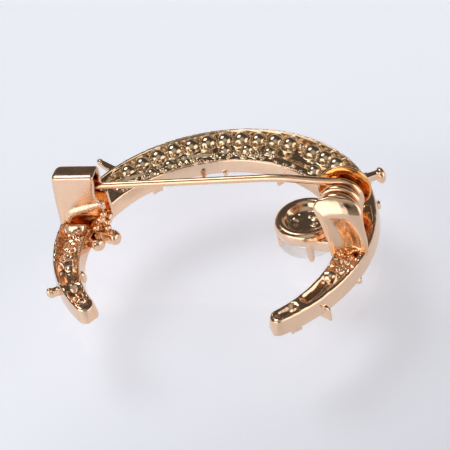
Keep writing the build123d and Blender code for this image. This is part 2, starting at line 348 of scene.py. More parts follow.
# the satin and polished gold's second colour is a painted reflection, the deep orange of gold mirrored in
# gold
SATIN_GOLD = rose_gold("satin rose gold", PLATE, 0.13, 0.1, 0.45, hollow=(0.95, 0.40, 0.10))
PLATED_GOLD = rose_gold("polished rose gold", PLATE, 0.1, 0.06, 0.3, hollow=(0.95, 0.42, 0.12))
WIRE_GOLD = rose_gold("drawn rose gold wire", (0.88, 0.62, 0.42), 0.14, 0.05, 0.15)
print("finishes:", CAST_GOLD.name + ",", SATIN_GOLD.name + ",", PLATED_GOLD.name + ",", WIRE_GOLD.name)

# %% [markdown]
# The stones are clear, faceted glass. Glass is a shader with full transmission: its sparkle comes from
# the facets bending what is behind them, so the finish stays simple and the cut does the work. A faint
# cloud in the roughness keeps a stone from looking like a hole in the picture.

# %% Clear glass


def clear_glass(name, tint, rough):
    material = bpy.data.materials.new(name)
    material.use_nodes = True
    nodes, link = material.node_tree.nodes, material.node_tree.links.new
    shader = nodes["Principled BSDF"]
    shader.inputs["Transmission Weight"].default_value = 1.0
    shader.inputs["IOR"].default_value = 1.54
    shader.inputs["Base Color"].default_value = (*tint, 1)
    place = nodes.new("ShaderNodeTexCoord")
    cloud = nodes.new("ShaderNodeTexNoise")
    cloud.inputs["Scale"].default_value = 900
    haze = nodes.new("ShaderNodeMapRange")
    haze.inputs["To Min"].default_value = 0.0
    haze.inputs["To Max"].default_value = rough
    link(place.outputs["Object"], cloud.inputs["Vector"])
    link(cloud.outputs["Fac"], haze.inputs["Value"])
    link(haze.outputs["Result"], shader.inputs["Roughness"])
    return material


GLASS = clear_glass("clear cut glass", (0.97, 0.98, 1.0), 0.03)
CRYSTAL_GLASS = clear_glass("pale crystal", (0.99, 0.99, 1.0), 0.1)
# so thick a stone would look dark from behind, so most of the view passes straight through it
CRYSTAL_GLASS.node_tree.nodes["Principled BSDF"].inputs["Alpha"].default_value = 0.4
print("glass:", GLASS.name, "and", CRYSTAL_GLASS.name)

# %% [markdown]
# ## The casting
# A crescent like this is cast hollow at the back to save metal: a deep channel under the row of large
# stones, a shallower shelf inside it with a low ridge between them on the left, and hollows down both
# limbs with bridges between.
# A sculptor could carve that by hand. Here the back is a height at each angle and radius, made of a
# few smooth steps, because each hollow is then one line with its own ends, edges and depth.

# %% The height of the hollow back
CHANNEL_DEPTH = 1.35
SHELF_DEPTH = 0.7
RIDGE_HEIGHT = 0.5
RIDGE_ANGLES = [40, 95, 103, 114, 125, 136, 140, 146, 154]
RIDGE_RADII = [17.0, 17.1, 17.2, 17.6, 17.75, 18.1, 18.3, 19.3, 20.0]
# start angle, end angle, gap at the inner edge, gap at the outer edge, depth
HOLLOWS = [(180, 202.0, 0.45, 0.5, 0.95), (199.0, 216.4, 0.35, 0.45, 1.6), (217.0, 229.5, 0.45, 0.5, 1.0),
           (-8.0, -29.0, 0.5, 0.9, 0.85), (-27.0, -45.5, 0.3, 0.8, 1.35), (-47.0, -57.0, 0.35, 0.7, 0.8)]


def back_height(angle, radius):
    inner = inner_radius(angle)
    ridge = np.interp(angle, RIDGE_ANGLES, RIDGE_RADII)
    far = rise(angle, 25, 29) * (1 - rise(angle, 151, 156))
    walls = rise(radius, inner + 0.1, inner + 0.8) * (1 - rise(radius, OUTER_R - 0.75, OUTER_R - 0.4))
    floor = SHELF_DEPTH + (CHANNEL_DEPTH - SHELF_DEPTH) * rise(radius, ridge - 0.2, ridge + 1.2)
    ridge_lift = RIDGE_HEIGHT * rise(angle, 92, 108) * np.exp(-((radius - ridge) / 0.32) ** 2)
    height = -far * walls * (floor - ridge_lift)
    for start, stop, inside, outside, depth in HOLLOWS:
        low, high = min(start, stop), max(start, stop)
        ends = rise(angle, low, low + 3.2) * (1 - rise(angle, high - 3.2, high))
        sides = rise(radius, inner + inside * 0.5, inner + inside + 1.0)
        sides = sides * (1 - rise(radius, OUTER_R - outside - 0.9, OUTER_R - outside * 0.6))
        height = np.minimum(height, -depth * ends * sides)
    return height


print("channel", CHANNEL_DEPTH, "mm deep;", len(HOLLOWS), "hollows down the limbs")

# %% [markdown]
# The body is a loop of points at each angle: up the inner wall, across the hollow back, down the outer
# wall and back under the face. At the two ends the loop narrows along a quarter circle, which gives
# the blunt rounded tips.

# %% The crescent's body
LOOPS = 760
ACROSS = 46
TIP_ROUND = {END_RIGHT: 0.9, END_LEFT: 1.3}
# at the tips the wall leans out towards the face, by an angle and by a share of the width
TIP_FLARE = 0.7
TIP_SPREAD = 0.45
RIM_ROUND = 0.28
RIM_WIDTH = 0.3


def narrowing(angle):
    # 1 along the crescent, falling as a quarter circle to a blunt tip at each end
    scale = 1.0
    for end, radius in TIP_ROUND.items():
        distance = abs(angle - end) * math.pi / 180 * OUTER_R
        if distance < radius:
            scale = math.sqrt(1 - (1 - distance / radius) ** 2)
    return max(scale, 0.25)


def casting_ripple(x, y, z, rough):
    # broad waves everywhere, and lumps where the casting is rough
    waves = 0.05 * noise.noise((x * 1.1, y * 1.1, z)) + 0.03 * noise.noise((x * 3.1, y * 3.1, z + 7))
    lumps = 0.28 * noise.noise((x * 1.7, y * 1.7, 3.0)) + 0.1 * noise.noise((x * 4.5, y * 4.5, 9.0))
    return waves + rough * lumps


def roughness_at(angle, radius):
    # the shelf beside the catch and the solder patches are lumpy
    shelf = rise(angle, 104, 116) * (1 - rise(angle, 150, 156)) * (1 - rise(radius, 17.0, 18.6))
    left = rise(angle, 180, 184) * (1 - rise(angle, 199, 203))
    right = rise(angle, -29, -26) * (1 - rise(angle, -12, -8))
    return float(shelf + left + right)


def crescent_body():
    rings = []
    for angle in np.linspace(END_RIGHT, END_LEFT, LOOPS):
        inner = float(inner_radius(angle))
        middle = (inner + OUTER_R) / 2
        half = (OUTER_R - inner) / 2
        narrow = narrowing(angle)
        share = np.linspace(-1, 1, ACROSS)
        radii = middle + share * half
        heights = back_height(np.full(ACROSS, angle), radii)
        edge = RIM_ROUND * np.clip((np.abs(share) * half - (half - RIM_WIDTH)) / RIM_WIDTH, 0, 1) ** 2
        loop = []
        for radius, height, drop_off, s in zip(radii, heights, edge, share):
            x, y = on_ring(angle, middle + (radius - middle) * narrow)
            soft = height - drop_off - 0.5 * (1 - narrow)
            inset = rise(1 - abs(s), 0.05, 0.25)
            lumps = roughness_at(angle, radius) * float(inset)
            loop.append((x, y, soft + casting_ripple(x, y, soft, lumps)))
        walls_and_face = ((OUTER_R + DRAFT * 0.5, FACE_Z / 2), (OUTER_R + DRAFT, FACE_Z), (middle, FACE_Z),
                          (inner - DRAFT, FACE_Z), (inner - DRAFT * 0.5, FACE_Z / 2))
        for radius, height in walls_and_face:
            flare = TIP_FLARE * (1 - narrow) * height / FACE_Z * (1 if angle > 0 else -1)
            width = narrow + TIP_SPREAD * (1 - narrow) * height / FACE_Z
            x, y = on_ring(angle + flare, middle + (radius - middle) * width)
            loop.append((x, y, height))
        rings.append(loop)
    return skin("body", rings)


body = crescent_body()
print("body", len(body.data.polygons), "faces")

# %% [markdown]
# Each stone's seat shows in the hollow back as a polished boss. They are repeated balls and short
# necks, a little uneven as a hand-made wax is. On the face each seat is a collar with four prongs.

# %% Bosses, collars and prongs
uneven = np.random.default_rng(11)
LARGE_STONE = 0.9
BOSS_LARGE = 1.38
BOSS_SMALL = 1.04
# the large bosses stand a little further out than their stones
BOSS_SHIFT = 0.33
# the right tip is thin, so its boss is smaller and lies deeper
THIN_TIP = -47
bosses = []
for x, y, r in SEATS:
    large = r > LARGE_STONE
    size = (BOSS_LARGE if large else BOSS_SMALL) * (1 + 0.05 * uneven.uniform(-1, 1))
    top = (0.16 if large else 0.08) - 0.16 * uneven.uniform(0, 1)
    if math.degrees(math.atan2(y, x)) < THIN_TIP:
        top -= 1.25
        size *= 0.62
    shift = 0.07 * uneven.uniform(-1, 1, 2)
    outer = 1 + (BOSS_SHIFT / OUTER_R if large else 0)
    bosses.append((x * outer + shift[0], y * outer + shift[1], top - size, size))
necks = list(bosses)
# small bumps without a stone: angle, radius, size
BUMPS = [(92.5, 16.9, 0.5), (82.0, 16.7, 0.55), (79.0, 17.2, 0.5), (71.0, 16.9, 0.4), (101.0, 16.6, 0.45),
         (128.5, 16.5, 0.5), (138.5, 17.0, 0.55), (60.5, 15.7, 0.4), (62.5, 20.6, 0.6), (188.0, 19.0, 0.5),
         (225.5, 21.2, 0.6)]
BUMP_TOP = -0.15
for angle, radius, size in BUMPS:
    x, y = on_ring(angle, radius)
    bosses.append((x, y, BUMP_TOP - size, size))
boss_balls = repeat("boss balls", bosses, ball())
neck = lathe("neck", [(0, -1.6), (1.0, -1.6), (1.0, 0.0), (0, 0.0)], (0, 0), 24)
boss_necks = repeat("boss necks", necks, neck)
COLLAR_LOW = -3.9
COLLAR_SIDES = 32
PRONG_R = 0.24
# a prong further out than this would stand past the crescent's edge, so it is left out
PRONG_LIMIT = OUTER_R - 0.45
collars = []
prongs = []
for x, y, r in SEATS:
    ring_wall = [(r * 0.97, COLLAR_LOW + 0.1), (r + 0.1, COLLAR_LOW), (r + 0.24, COLLAR_LOW + 0.12),
                 (r + 0.3, FACE_Z + 0.3), (r * 0.97, FACE_Z + 0.3)]
    turns = [2 * math.pi * k / COLLAR_SIDES for k in range(COLLAR_SIDES)]
    verts = [(x + q * math.cos(t), y + q * math.sin(t), h) for t in turns for q, h in ring_wall]
    faces = grid_faces(COLLAR_SIDES, len(ring_wall), close_rows=True, close_columns=True)
    collars.append(outward(new_piece("collar", verts, faces)))
    for k in range(4):
        turn = math.atan2(y, x) + math.pi / 4 + math.pi / 2 * k
        if math.hypot(x + r * math.cos(turn), y + r * math.sin(turn)) > PRONG_LIMIT:
            continue
        reach = r + PRONG_R / 2
        prongs.append((x + reach * math.cos(turn), y + reach * math.sin(turn), COLLAR_LOW, PRONG_R))
prong_balls = repeat("prong balls", prongs, ball(12))
print(len(collars), "collars")

# %% [markdown]
# Star points from the decorated face stand out past the crescent's edge, and one whole star sits on
# the left limb by the catch. A point is a tapering prism with a blunt end, and the largest points end in
# a rounded tab.

# %% Star points


def pebble(x, y, z, along, across, tall, turn):
    # a rounded lump: the tab at the end of a star point
    lump = ball()
    size = Matrix.Diagonal((along, across, tall, 1))
    lump.data.transform(Matrix.Translation((x, y, z)) @ Matrix.Rotation(math.radians(turn), 4, "Z") @ size)
    return lump


def star_point(root, tip, half, blunt, low, high):
    # blunt is the tip's width as a share of the root's
    ax, ay = tip[0] - root[0], tip[1] - root[1]
    length = math.hypot(ax, ay)
    sx, sy = -ay / length * half, ax / length * half
    corners = [(root[0] + sx, root[1] + sy), (tip[0] + sx * blunt, tip[1] + sy * blunt),
               (tip[0] - sx * blunt, tip[1] - sy * blunt), (root[0] - sx, root[1] - sy)]
    return block("star point", corners, low, high)


# angle, inner radius, outer radius, half width, bluntness, low, high
EDGE_POINTS = [(144.0, 21.6, 26.0, 0.7, 0.6, -1.3, -0.5), (144.0, 21.6, 24.0, 1.1, 0.45, -2.1, -0.7),
               (29.6, 21.0, 24.8, 0.55, 0.9, -1.7, -0.7), (30.5, 21.0, 23.4, 1.2, 0.5, -2.4, -0.9),
               (-147.6, 20.5, 23.7, 0.4, 1.1, -2.1, -1.0),
               (-39.5, 20.5, 23.7, 0.6, 0.25, -3.3, -1.3), (109.0, 17.0, 12.9, 0.7, 0.3, -2.9, -1.6),
               (60.0, 17.0, 13.6, 0.7, 0.3, -2.9, -1.6), (96.0, 16.0, 13.9, 0.5, 0.4, -2.7, -1.9),
               (15.5, 21.5, 23.1, 0.55, 0.7, -2.3, -1.3), (-22.0, 21.5, 22.95, 0.5, 0.7, -2.8, -2.1)]
# angle, radius, height, then half sizes along, across and upright
TABS = [(210.0, 19.0, -1.5, 0.55, 0.6, 1.0), (144.0, 26.0, -0.75, 0.7, 0.5, 0.6),
        (-147.6, 23.8, -1.45, 0.55, 0.6, 0.85), (29.6, 24.9, -1.5, 0.72, 1.12, 1.25)]
# the whole star: its centre, its underside and how far its tabs stand past the prisms' ends
STAR = (-18.4, 0.6)
STAR_LOW = -2.7
STAR_TAB = 0.4
# direction, length, half width, height of the top
STAR_POINTS = [(-21.0, 4.9, 0.85, -0.85), (-56.0, 4.0, 0.9, -0.95), (205.0, 4.2, 0.8, -1.3)]
stars = [star_point(on_ring(a, r0), on_ring(a, r1), half, blunt, low, high)
         for a, r0, r1, half, blunt, low, high in EDGE_POINTS]
for heading, length, half, top in STAR_POINTS:
    a = math.radians(heading)
    reach = length - STAR_TAB
    tip = (STAR[0] + reach * math.cos(a), STAR[1] + reach * math.sin(a))
    stars.append(star_point(STAR, tip, half, 0.75, STAR_LOW, top))
    middle, tall = (top - 2.8) / 2, (top + 2.9) / 2
    stars.append(pebble(tip[0], tip[1], middle, 0.72, half + 0.12, tall, heading))
for angle, radius, height, along, across, tall in TABS:
    x, y = on_ring(angle, radius)
    stars.append(pebble(x, y, height, along, across, tall, angle))
print(len(stars), "star points")

# %% [markdown]
# The large crystal has its own cup, hollow at the back, on a lug and a bar that run to the limb. They
# are part of the casting. Four slim claws run down from the cup's edge over the crystal.

# %% The crystal's cup
CUP = ((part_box("crystal")[0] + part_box("crystal")[1]) / 2 - ring_centre) / MM
CUP_PROFILE = [(0, -1.95), (3.4, -1.95), (4.0, -1.8), (4.42, -1.3), (4.52, -0.65), (4.3, 0.0), (3.9, 0.3),
               (3.4, 0.34), (3.0, 0.12), (2.75, -0.35), (2.35, -0.75), (1.5, -0.85), (0, -0.8)]
cup = lathe("cup", CUP_PROFILE, CUP, 64)
CLAW_R = 0.46
CLAW_PROFILE = [(0, -4.5), (0.25, -4.48), (CLAW_R, -4.1), (CLAW_R, -1.5), (0, -1.5)]
CLAW_TURN = 12
CLAW_OUT = 3.95
claws = []
for k in range(4):
    a = math.radians(CLAW_TURN + 90 * k)
    spot = (CUP.x + CLAW_OUT * math.cos(a), CUP.y + CLAW_OUT * math.sin(a))
    claws.append(lathe("claw", CLAW_PROFILE, spot, 16))
lug = block("lug", [(13.2, -2.5), (17.8, -3.4), (18.4, -2.0), (15.0, -0.2), (13.0, -0.6)], -2.4, -0.75)
bar = block("bar", [(12.1, -1.9), (16.8, -2.35), (17.0, -0.9), (12.5, -0.45)], -1.4, -0.62)
shoulder = block("shoulder", [(15.9, 0.0), (18.8, -0.4), (18.8, 5.4), (16.2, 4.4)], -2.3, -0.3)
print("cup centre", [round(v, 2) for v in CUP[:2]])

# %% [markdown]
# Where solder and casting skin are left rough, the gold is granular: under the catch, at the foot of
# the hinge and in patches of the channel. Grains are small balls strewn with a fixed seed.

# %% Casting grains
# start angle, end angle, inner radius, outer radius, height, count, smallest, largest
GRAIN_PATCHES = [(179, 190, 18.6, 21.0, -0.8, 7, 0.3, 0.5), (193, 199, 19.2, 21.4, -0.9, 2, 0.25, 0.42),
                 (-27, -10, 18.9, 21.0, -0.7, 46, 0.22, 0.48), (146, 158, 16.6, 19.6, -0.6, 26, 0.2, 0.45),
                 (104, 112, 14.9, 15.7, -0.3, 9, 0.2, 0.35), (66, 150, 15.6, 16.8, -0.62, 20, 0.2, 0.4),
                 (219, 228, 20.6, 21.5, -0.85, 3, 0.25, 0.36), (50, 58, 15.6, 16.2, -0.5, 6, 0.16, 0.3)]
CUP_GRAINS = 26
CUP_GRAIN_REACH = 2.4
CUP_GRAIN_Z = -1.05
grains = []
for start, stop, near, far, height, count, small, large in GRAIN_PATCHES:
    for _ in range(count):
        x, y = on_ring(uneven.uniform(start, stop), uneven.uniform(near, far))
        grains.append((x, y, height + 0.25 * uneven.uniform(-1, 1), uneven.uniform(small, large)))
for _ in range(CUP_GRAINS):
    turn = uneven.uniform(0, 2 * math.pi)
    reach = CUP_GRAIN_REACH * math.sqrt(uneven.uniform(0, 1))
    x, y = CUP.x + reach * math.cos(turn), CUP.y + reach * math.sin(turn)
    grains.append((x, y, CUP_GRAIN_Z, uneven.uniform(0.2, 0.55)))
grain_balls = repeat("casting grains", grains, ball(10))

# %% [markdown]
# All these solids overlap. Voxel remeshing melts them into one skin, as the metal does in the mould,
# and a little smoothing gives the soft edges of a polished casting.

# %% Melt the casting into one skin
VOXEL = 0.105
casting = melt("crescent casting",
               [body, boss_balls, boss_necks, prong_balls, cup, lug, bar, shoulder, grain_balls]
               + collars + stars + claws, VOXEL, 3, 190000)

# %% [markdown]
# Down in the long channel and in the cup the gold is painted browner and darker, a painted shade for
# the light that hardly reaches there. The casting carries that as an attribute on its points, which its
# finish reads.

# %% Painted shade in the channel and the cup


def carry_hollow(piece, levels):
    hollow = piece.data.attributes.new("hollow", "FLOAT", "POINT")
    hollow.data.foreach_set("value", levels)
    share = float((np.array(levels) > 0.5).mean())
    print(piece.name, "takes the second colour on", round(100 * share), "% of its points")


def painted_channel_shade(piece):
    spots = np.array([v.co for v in piece.data.vertices])
    angles = np.degrees(np.arctan2(spots[:, 1], spots[:, 0]))
    reach = np.hypot(spots[:, 0], spots[:, 1])
    # painted shade: the channel's depths and the cup are marked to take the browner, darker colour
    channel = rise(angles, 27, 33) * (1 - rise(angles, 148, 154)) * rise(spots[:, 2], -1.9, -1.5)
    channel = channel * rise(reach, inner_radius(angles) + 0.25, inner_radius(angles) + 0.7)
    channel = channel * (1 - rise(reach, OUTER_R - 0.5, OUTER_R - 0.3))
    in_cup = 1 - rise(np.hypot(spots[:, 0] - CUP.x, spots[:, 1] - CUP.y), 2.6, 3.4)
    return np.maximum(channel, in_cup * 0.7)


carry_hollow(casting, painted_channel_shade(casting))

# %% [markdown]
# ## The catch
# The catch is sheet metal folded over into a hood, closed at its far end, with a rolled lip round the
# mouth where the needle slips out. A bent sheet is a grid of points: one direction runs along the
# brooch, the other up the front, over the top and down the back leg. Solidify gives it the sheet's
# thickness, inwards, and Subdivision Surface rounds the folds.

# %% The hood of the catch
HOOD_FRONT = -0.5
HOOD_DEEP = 3.1
HOOD_TOP = 8.55
HOOD_SPRING = 7.8
HOOD_LONG = 7.0
# powers below 1 flatten the hood's top and tighten its front and back corners
HOOD_OVER = 0.45
HOOD_UP = 0.6
# the closed end is rounded in by this much
END_ROUND = 0.75
SHEET = 0.6
# heights, then x of each end of the hood at those heights
LEFT_EDGE = ([0.0, 4.5, 6.6, 8.6], [-22.4, -22.05, -21.8, -21.45])
RIGHT_EDGE = ([0.0, 2.7, 6.7, 8.6], [-15.35, -15.8, -15.35, -15.35])
# x along the front's lower edge, then its height
LIP = ([-22.3, -21.4, -21.0, -20.4, -19.7, -18.8, -17.5, -16.2, -15.3],
       [-0.3, -0.3, 1.3, 2.3, 2.75, 3.1, 3.45, 3.9, 4.1])


def hood_section(count):
    # (y, z) points up the front, over the top and down the back; z 0 is the foot
    middle = HOOD_DEEP / 2
    points = [(0.0, z) for z in np.linspace(0, HOOD_SPRING, count)]
    for k in range(1, 12):
        t = math.pi * k / 12
        over = math.copysign(abs(math.cos(t)) ** HOOD_OVER, math.cos(t))
        up = math.sin(t) ** HOOD_UP
        points.append((middle - middle * over, HOOD_SPRING + (HOOD_TOP - HOOD_SPRING) * up))
    points += [(HOOD_DEEP, z) for z in np.linspace(HOOD_SPRING, -0.3, count)]
    return points


def hood_columns():
    # (distance from the closed end, share of the depth): across the end, round its edge, then along
    columns = [(0.0, s) for s in (0.0, 0.4, 0.72)]
    for t in (25, 45, 65, 90):
        t = math.radians(t)
        columns.append((END_ROUND * (1 - math.cos(t)), 1 - (END_ROUND / (HOOD_DEEP / 2)) * (1 - math.sin(t))))
    columns += [(d, 1.0) for d in (1.2, 1.7, 2.3, 2.9, 3.5, 4.1, 4.7, 5.3, 5.9, 6.4, HOOD_LONG)]
    return columns


def hood_sheet():
    section = hood_section(16)
    middle = HOOD_DEEP / 2
    rings = []
    for distance, spread in hood_columns():
        row = []
        for y, z in section:
            across = middle + (y - middle) * spread
            lifted = min(z, HOOD_SPRING) + (z - min(z, HOOD_SPRING)) * (0.35 + 0.65 * spread)
            left = np.interp(lifted, *LEFT_EDGE)
            right = np.interp(lifted, *RIGHT_EDGE)
            x = left + (right - left) * (distance / HOOD_LONG)
            if y == 0.0 and spread > 0.5:
                foot = np.interp(x, *LIP)
                lifted = foot + (HOOD_SPRING - foot) * lifted / HOOD_SPRING
            row.append((x, HOOD_FRONT + across, lifted))
        rings.append(row)
    verts = [p for row in rings for p in row]
    return outward(new_piece("hood sheet", verts, grid_faces(len(rings), len(section))))


def thicken(piece, thickness, levels):
    wall = piece.modifiers.new("sheet", "SOLIDIFY")
    wall.thickness = thickness
    wall.offset = -1
    wall.use_even_offset = False
    smooth = piece.modifiers.new("rounded", "SUBSURF")
    smooth.levels = levels
    smooth.render_levels = levels
    return bake(piece)


hood = hood_sheet()
# an open sheet has no inside, so its top is made to face up before it is thickened inwards
facing = sum(p.normal.z * p.area for p in hood.data.polygons)
if facing < 0:
    hood.data.flip_normals()
thicken(hood, SHEET, 1)
lip_points = [(x, z) for x, z in zip(*LIP) if z > 0]
print("hood", len(hood.data.polygons), "faces; facing", round(facing, 2))

# %% [markdown]
# The lip is rolled over into a soft bead. The bead is a string of overlapping balls, one every fifth
# of a millimetre along the lip, melted into the sheet with the back leg's plate and the solder.

# %% The rolled lip and the back leg
LIP_BALLS = 34
lip_balls = []
for share in np.linspace(0, 1, LIP_BALLS):
    spot = share * (len(lip_points) - 1)
    k = min(int(spot), len(lip_points) - 2)
    a, b = lip_points[k], lip_points[k + 1]
    x = a[0] + (b[0] - a[0]) * (spot - k)
    z = a[1] + (b[1] - a[1]) * (spot - k)
    size = 0.45 + 0.27 * math.sin(math.pi * share) + 0.05 * uneven.uniform(-1, 1)
    lip_balls.append((x + 0.15, HOOD_FRONT + 0.38, z - 0.35, size))
lip = repeat("lip bead", lip_balls, ball(14))
leg = block("back leg", [(-16.8, 2.0), (-14.9, 1.75), (-14.9, 2.35), (-16.8, 2.6)], -0.3, 4.3)
foot_grains = [(-16.2, 0.3, 0.6, 0.7), (-15.6, 0.2, 1.6, 0.55), (-15.3, 1.2, 0.4, 0.7),
               (-16.8, -0.6, -0.2, 0.6), (-15.5, 0.6, 2.6, 0.45), (-15.2, -0.4, -0.4, 0.55)]
for _ in range(5):
    x, y, z = uneven.uniform(-17.2, -15.0), uneven.uniform(-0.4, 1.8), uneven.uniform(-0.7, 0.4)
    foot_grains.append((x, y, z, uneven.uniform(0.35, 0.6)))
hood_foot = repeat("solder at the catch", foot_grains, ball(10))
catch = melt("catch", [hood, lip, leg, hood_foot], 0.09, 2, 90000)

# %% [markdown]
# Inside the hood gold is mirrored in gold over and over, and each time the colour deepens. Renderers cut
# such paths short, so the skin that faces the hood's middle carries the deep colour itself.

# %% Deep gold inside the hood
HOOD_MIDDLE = Vector((-18.3, HOOD_FRONT + HOOD_DEEP / 2, 4.2))


def inside_hood(spot, normal):
    inward = (HOOD_MIDDLE - spot).normalized().dot(normal)
    return float(rise(inward, 0.0, 0.4))


carry_hollow(catch, [inside_hood(v.co, v.normal) for v in catch.data.vertices])

# %% [markdown]
# ## The hinge
# Two ears stand up from the limb and hold the coil between them. The front one is a long leaf, leaning
# back over the coil, round at the head and dished into a valley towards its foot. The back one is a
# dished disc. An ear is made of rows: at each height a left and a right edge, with the dish between.

# %% The ears
AXIS = Vector(frame["joints"][0]["pos_m"])
COIL_X = (AXIS.x - ring_centre.x) / MM
COIL_Z = (AXIS.z - ring_centre.z) / MM
LEAF_HEIGHTS = [-0.7, 0.0, 1.15, 2.35, 3.3, 4.1, 4.8, 5.3, 5.75, 6.2, 6.8, 7.15, 7.3]
LEAF_LEFT = [17.1, 17.1, 16.9, 16.5, 16.25, 15.95, 15.6, 15.35, 15.28, 15.35, 15.75, 16.4, 17.3]
LEAF_RIGHT = [22.0, 22.1, 22.1, 21.9, 21.75, 21.7, 21.7, 21.6, 21.45, 21.15, 20.5, 19.6, 18.3]
LEAF_LEAN = 15.0
# the leaf leans about this height, where it stands at this y
LEAF_PIVOT = 3.9
LEAF_Y = -4.3
EAR_THICK = 1.0


def ear_rows(name, heights, left, right, place, thick, dish, head, rows=34, across=26):
    # place(x, height, out) gives the point; out is how far it stands out of the ear's plane;
    # over the length head, up to its top, the ear grows thinner
    rings = []
    for height in np.linspace(heights[0], heights[-1], rows):
        a, b = np.interp(height, heights, left), np.interp(height, heights, right)
        middle, half = (a + b) / 2, (b - a) / 2
        upper = min(1.0, math.sqrt(max(0.02, (heights[-1] - height) / head)))
        loop = []
        for k in range(across):
            t = 2 * math.pi * k / across
            c, s = math.cos(t), math.sin(t)
            x = middle + half * math.copysign(abs(c) ** 0.7, c)
            out = thick / 2 * math.copysign(abs(s) ** 0.75, s) * upper
            if s > 0:
                out -= dish(height, (x - middle) / half) * upper
            loop.append(place(x, height, out))
        rings.append(loop)
    return skin(name, rings)


def leaf_place(x, height, out):
    lean = math.radians(LEAF_LEAN)
    y = LEAF_Y + (height - LEAF_PIVOT) * math.tan(lean)
    return (x, y - out * math.cos(lean), height + out * math.sin(lean))


def leaf_dish(height, t):
    # a valley that deepens towards the foot, a round back at the head, and a high rim along the left
    valley = (0.05 + 0.6 * float(rise(-height, -5.4, -0.5))) * math.exp(-((t - 0.1) / 0.5) ** 2)
    bulge = 0.42 * (1 - t * t) * float(rise(height, 1.6, 7.0))
    return valley - bulge - 0.2 * math.exp(-((t + 0.78) / 0.26) ** 2)


front_ear = ear_rows("front ear", LEAF_HEIGHTS, LEAF_LEFT, LEAF_RIGHT, leaf_place, EAR_THICK, leaf_dish, 2.4)

BACK_EAR_Y = 2.55
BACK_EAR_R = 3.6
DISC_X = COIL_X + 0.2
DISC_Z = COIL_Z + 0.25
NECK_HALF = 1.9
back_heights = [-0.6] + [DISC_Z + BACK_EAR_R * math.sin(math.radians(t)) for t in range(-50, 91, 10)]
reach = [BACK_EAR_R * math.cos(math.radians(t)) for t in range(-50, 90, 10)] + [0.4]
back_left = [DISC_X - NECK_HALF] + [DISC_X - r for r in reach]
back_right = [DISC_X + NECK_HALF] + [DISC_X + r for r in reach]


def disc_place(x, height, out):
    return (x, BACK_EAR_Y - out, height)


def disc_dish(height, t):
    middle = (height - COIL_Z) / BACK_EAR_R
    return 0.45 * float(1 - rise(t * t + middle * middle, 0.62, 0.86))


back_ear = ear_rows("back ear", back_heights, back_left, back_right, disc_place, EAR_THICK, disc_dish, 1.0)
foot = block("hinge foot", [(17.4, -5.3), (21.6, -5.6), (22.0, 1.0), (21.4, 3.6), (17.6, 3.6)], -0.6, 0.25)
SOLDER_GRAINS = 70
solder_spots = []
for _ in range(SOLDER_GRAINS):
    x, y = on_ring(uneven.uniform(-19, 12), uneven.uniform(18.2, 21.3))
    solder_spots.append((x, y, uneven.uniform(-0.35, 0.25), uneven.uniform(0.16, 0.42)))
solder = repeat("solder at the hinge", solder_spots, ball(10))
ears = melt("hinge ears", [front_ear, back_ear, foot, solder], 0.1, 3, 120000)

# %% [markdown]
# The same painted reflection, the deep colour of gold mirrored in gold, lies between the ears, on the
# solder round their feet and down the leaf's valley.

# %% Deep gold between the ears
VALLEY_X = 19.6


def between_ears(spot, normal):
    back = float(rise(-normal.y, 0.0, 0.5)) * float(rise(spot.y, 1.0, 1.6))
    front = float(rise(normal.y, 0.0, 0.5)) * float(rise(-spot.y, 2.0, 3.0))
    low = float(rise(-spot.z, -1.6, -0.2)) * 0.6
    valley = float(rise(-abs(spot.x - VALLEY_X), -1.3, -0.5)) * float(rise(-spot.z, -4.2, -2.0)) * 0.7
    return max(back, front, low, valley)


carry_hollow(ears, [between_ears(v.co, v.normal) for v in ears.data.vertices])

# %% [markdown]
# ## The pin stem
# One wire is wound twice and a half round the post and runs straight to its point. A curve with a
# round bevel would do, but the point tapers, so the wire is skinned from rings that stand square to
# the path: the coil is worked out by a loop, the needle is a few named places.

# %% The wire of the pin stem
WIRE_R = 0.53
NEEDLE_R = 0.5
TAPER = 3.2
COIL_R = 2.5
COIL_TURNS = 2.5
COIL_PITCH = 1.6
NEEDLE_Y = 1.0
BEND_X = 8.0
TIP_X = (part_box("pin_stem")[0].x - ring_centre.x) / MM
NEEDLE_Z = COIL_Z + COIL_R + 0.7
TIP_Z = COIL_Z + COIL_R - 0.5


def stem_path():
    # (x, y, z, radius) along the wire: round the coil, then out to the point
    path = []
    coil_steps = 150
    for k in range(coil_steps + 1):
        t = k / coil_steps
        turn = math.pi / 2 - 2 * math.pi * COIL_TURNS * (1 - t)
        y = NEEDLE_Y - COIL_PITCH * COIL_TURNS * (1 - t)
        path.append((COIL_X + COIL_R * math.cos(turn), y, COIL_Z + COIL_R * math.sin(turn), WIRE_R))
    needle_steps = 70
    for k in range(1, needle_steps + 1):
        x = COIL_X + (TIP_X - COIL_X) * k / needle_steps
        lift = NEEDLE_Z + (TIP_Z - NEEDLE_Z) * (BEND_X - x) / (BEND_X - TIP_X)
        joined = float(rise(COIL_X - x, 0, COIL_X - BEND_X))
        z = (COIL_Z + COIL_R) * (1 - joined) + lift * joined
        size = NEEDLE_R * math.sqrt(max(0.012, min(1.0, (x - TIP_X) / TAPER)))
        path.append((x, NEEDLE_Y, z, size if x < BEND_X else WIRE_R))
    return path


def wire(name, path, sides=20):
    points = np.array([p[:3] for p in path])
    along = np.gradient(points, axis=0)
    along /= np.linalg.norm(along, axis=1)[:, None]
    rings = []
    for centre, forward, (_, _, _, size) in zip(points, along, path):
        side = np.cross(forward, (0, 1, 0))
        side /= np.linalg.norm(side)
        up = np.cross(side, forward)
        rings.append([tuple(centre + size * (side * math.cos(t) + up * math.sin(t)))
                      for t in (2 * math.pi * k / sides for k in range(sides))])
    return skin(name, rings)


stem = wire("pin stem wire", stem_path())
print("stem from", round(TIP_X, 1), "mm to the coil at", round(COIL_X, 1), "mm")

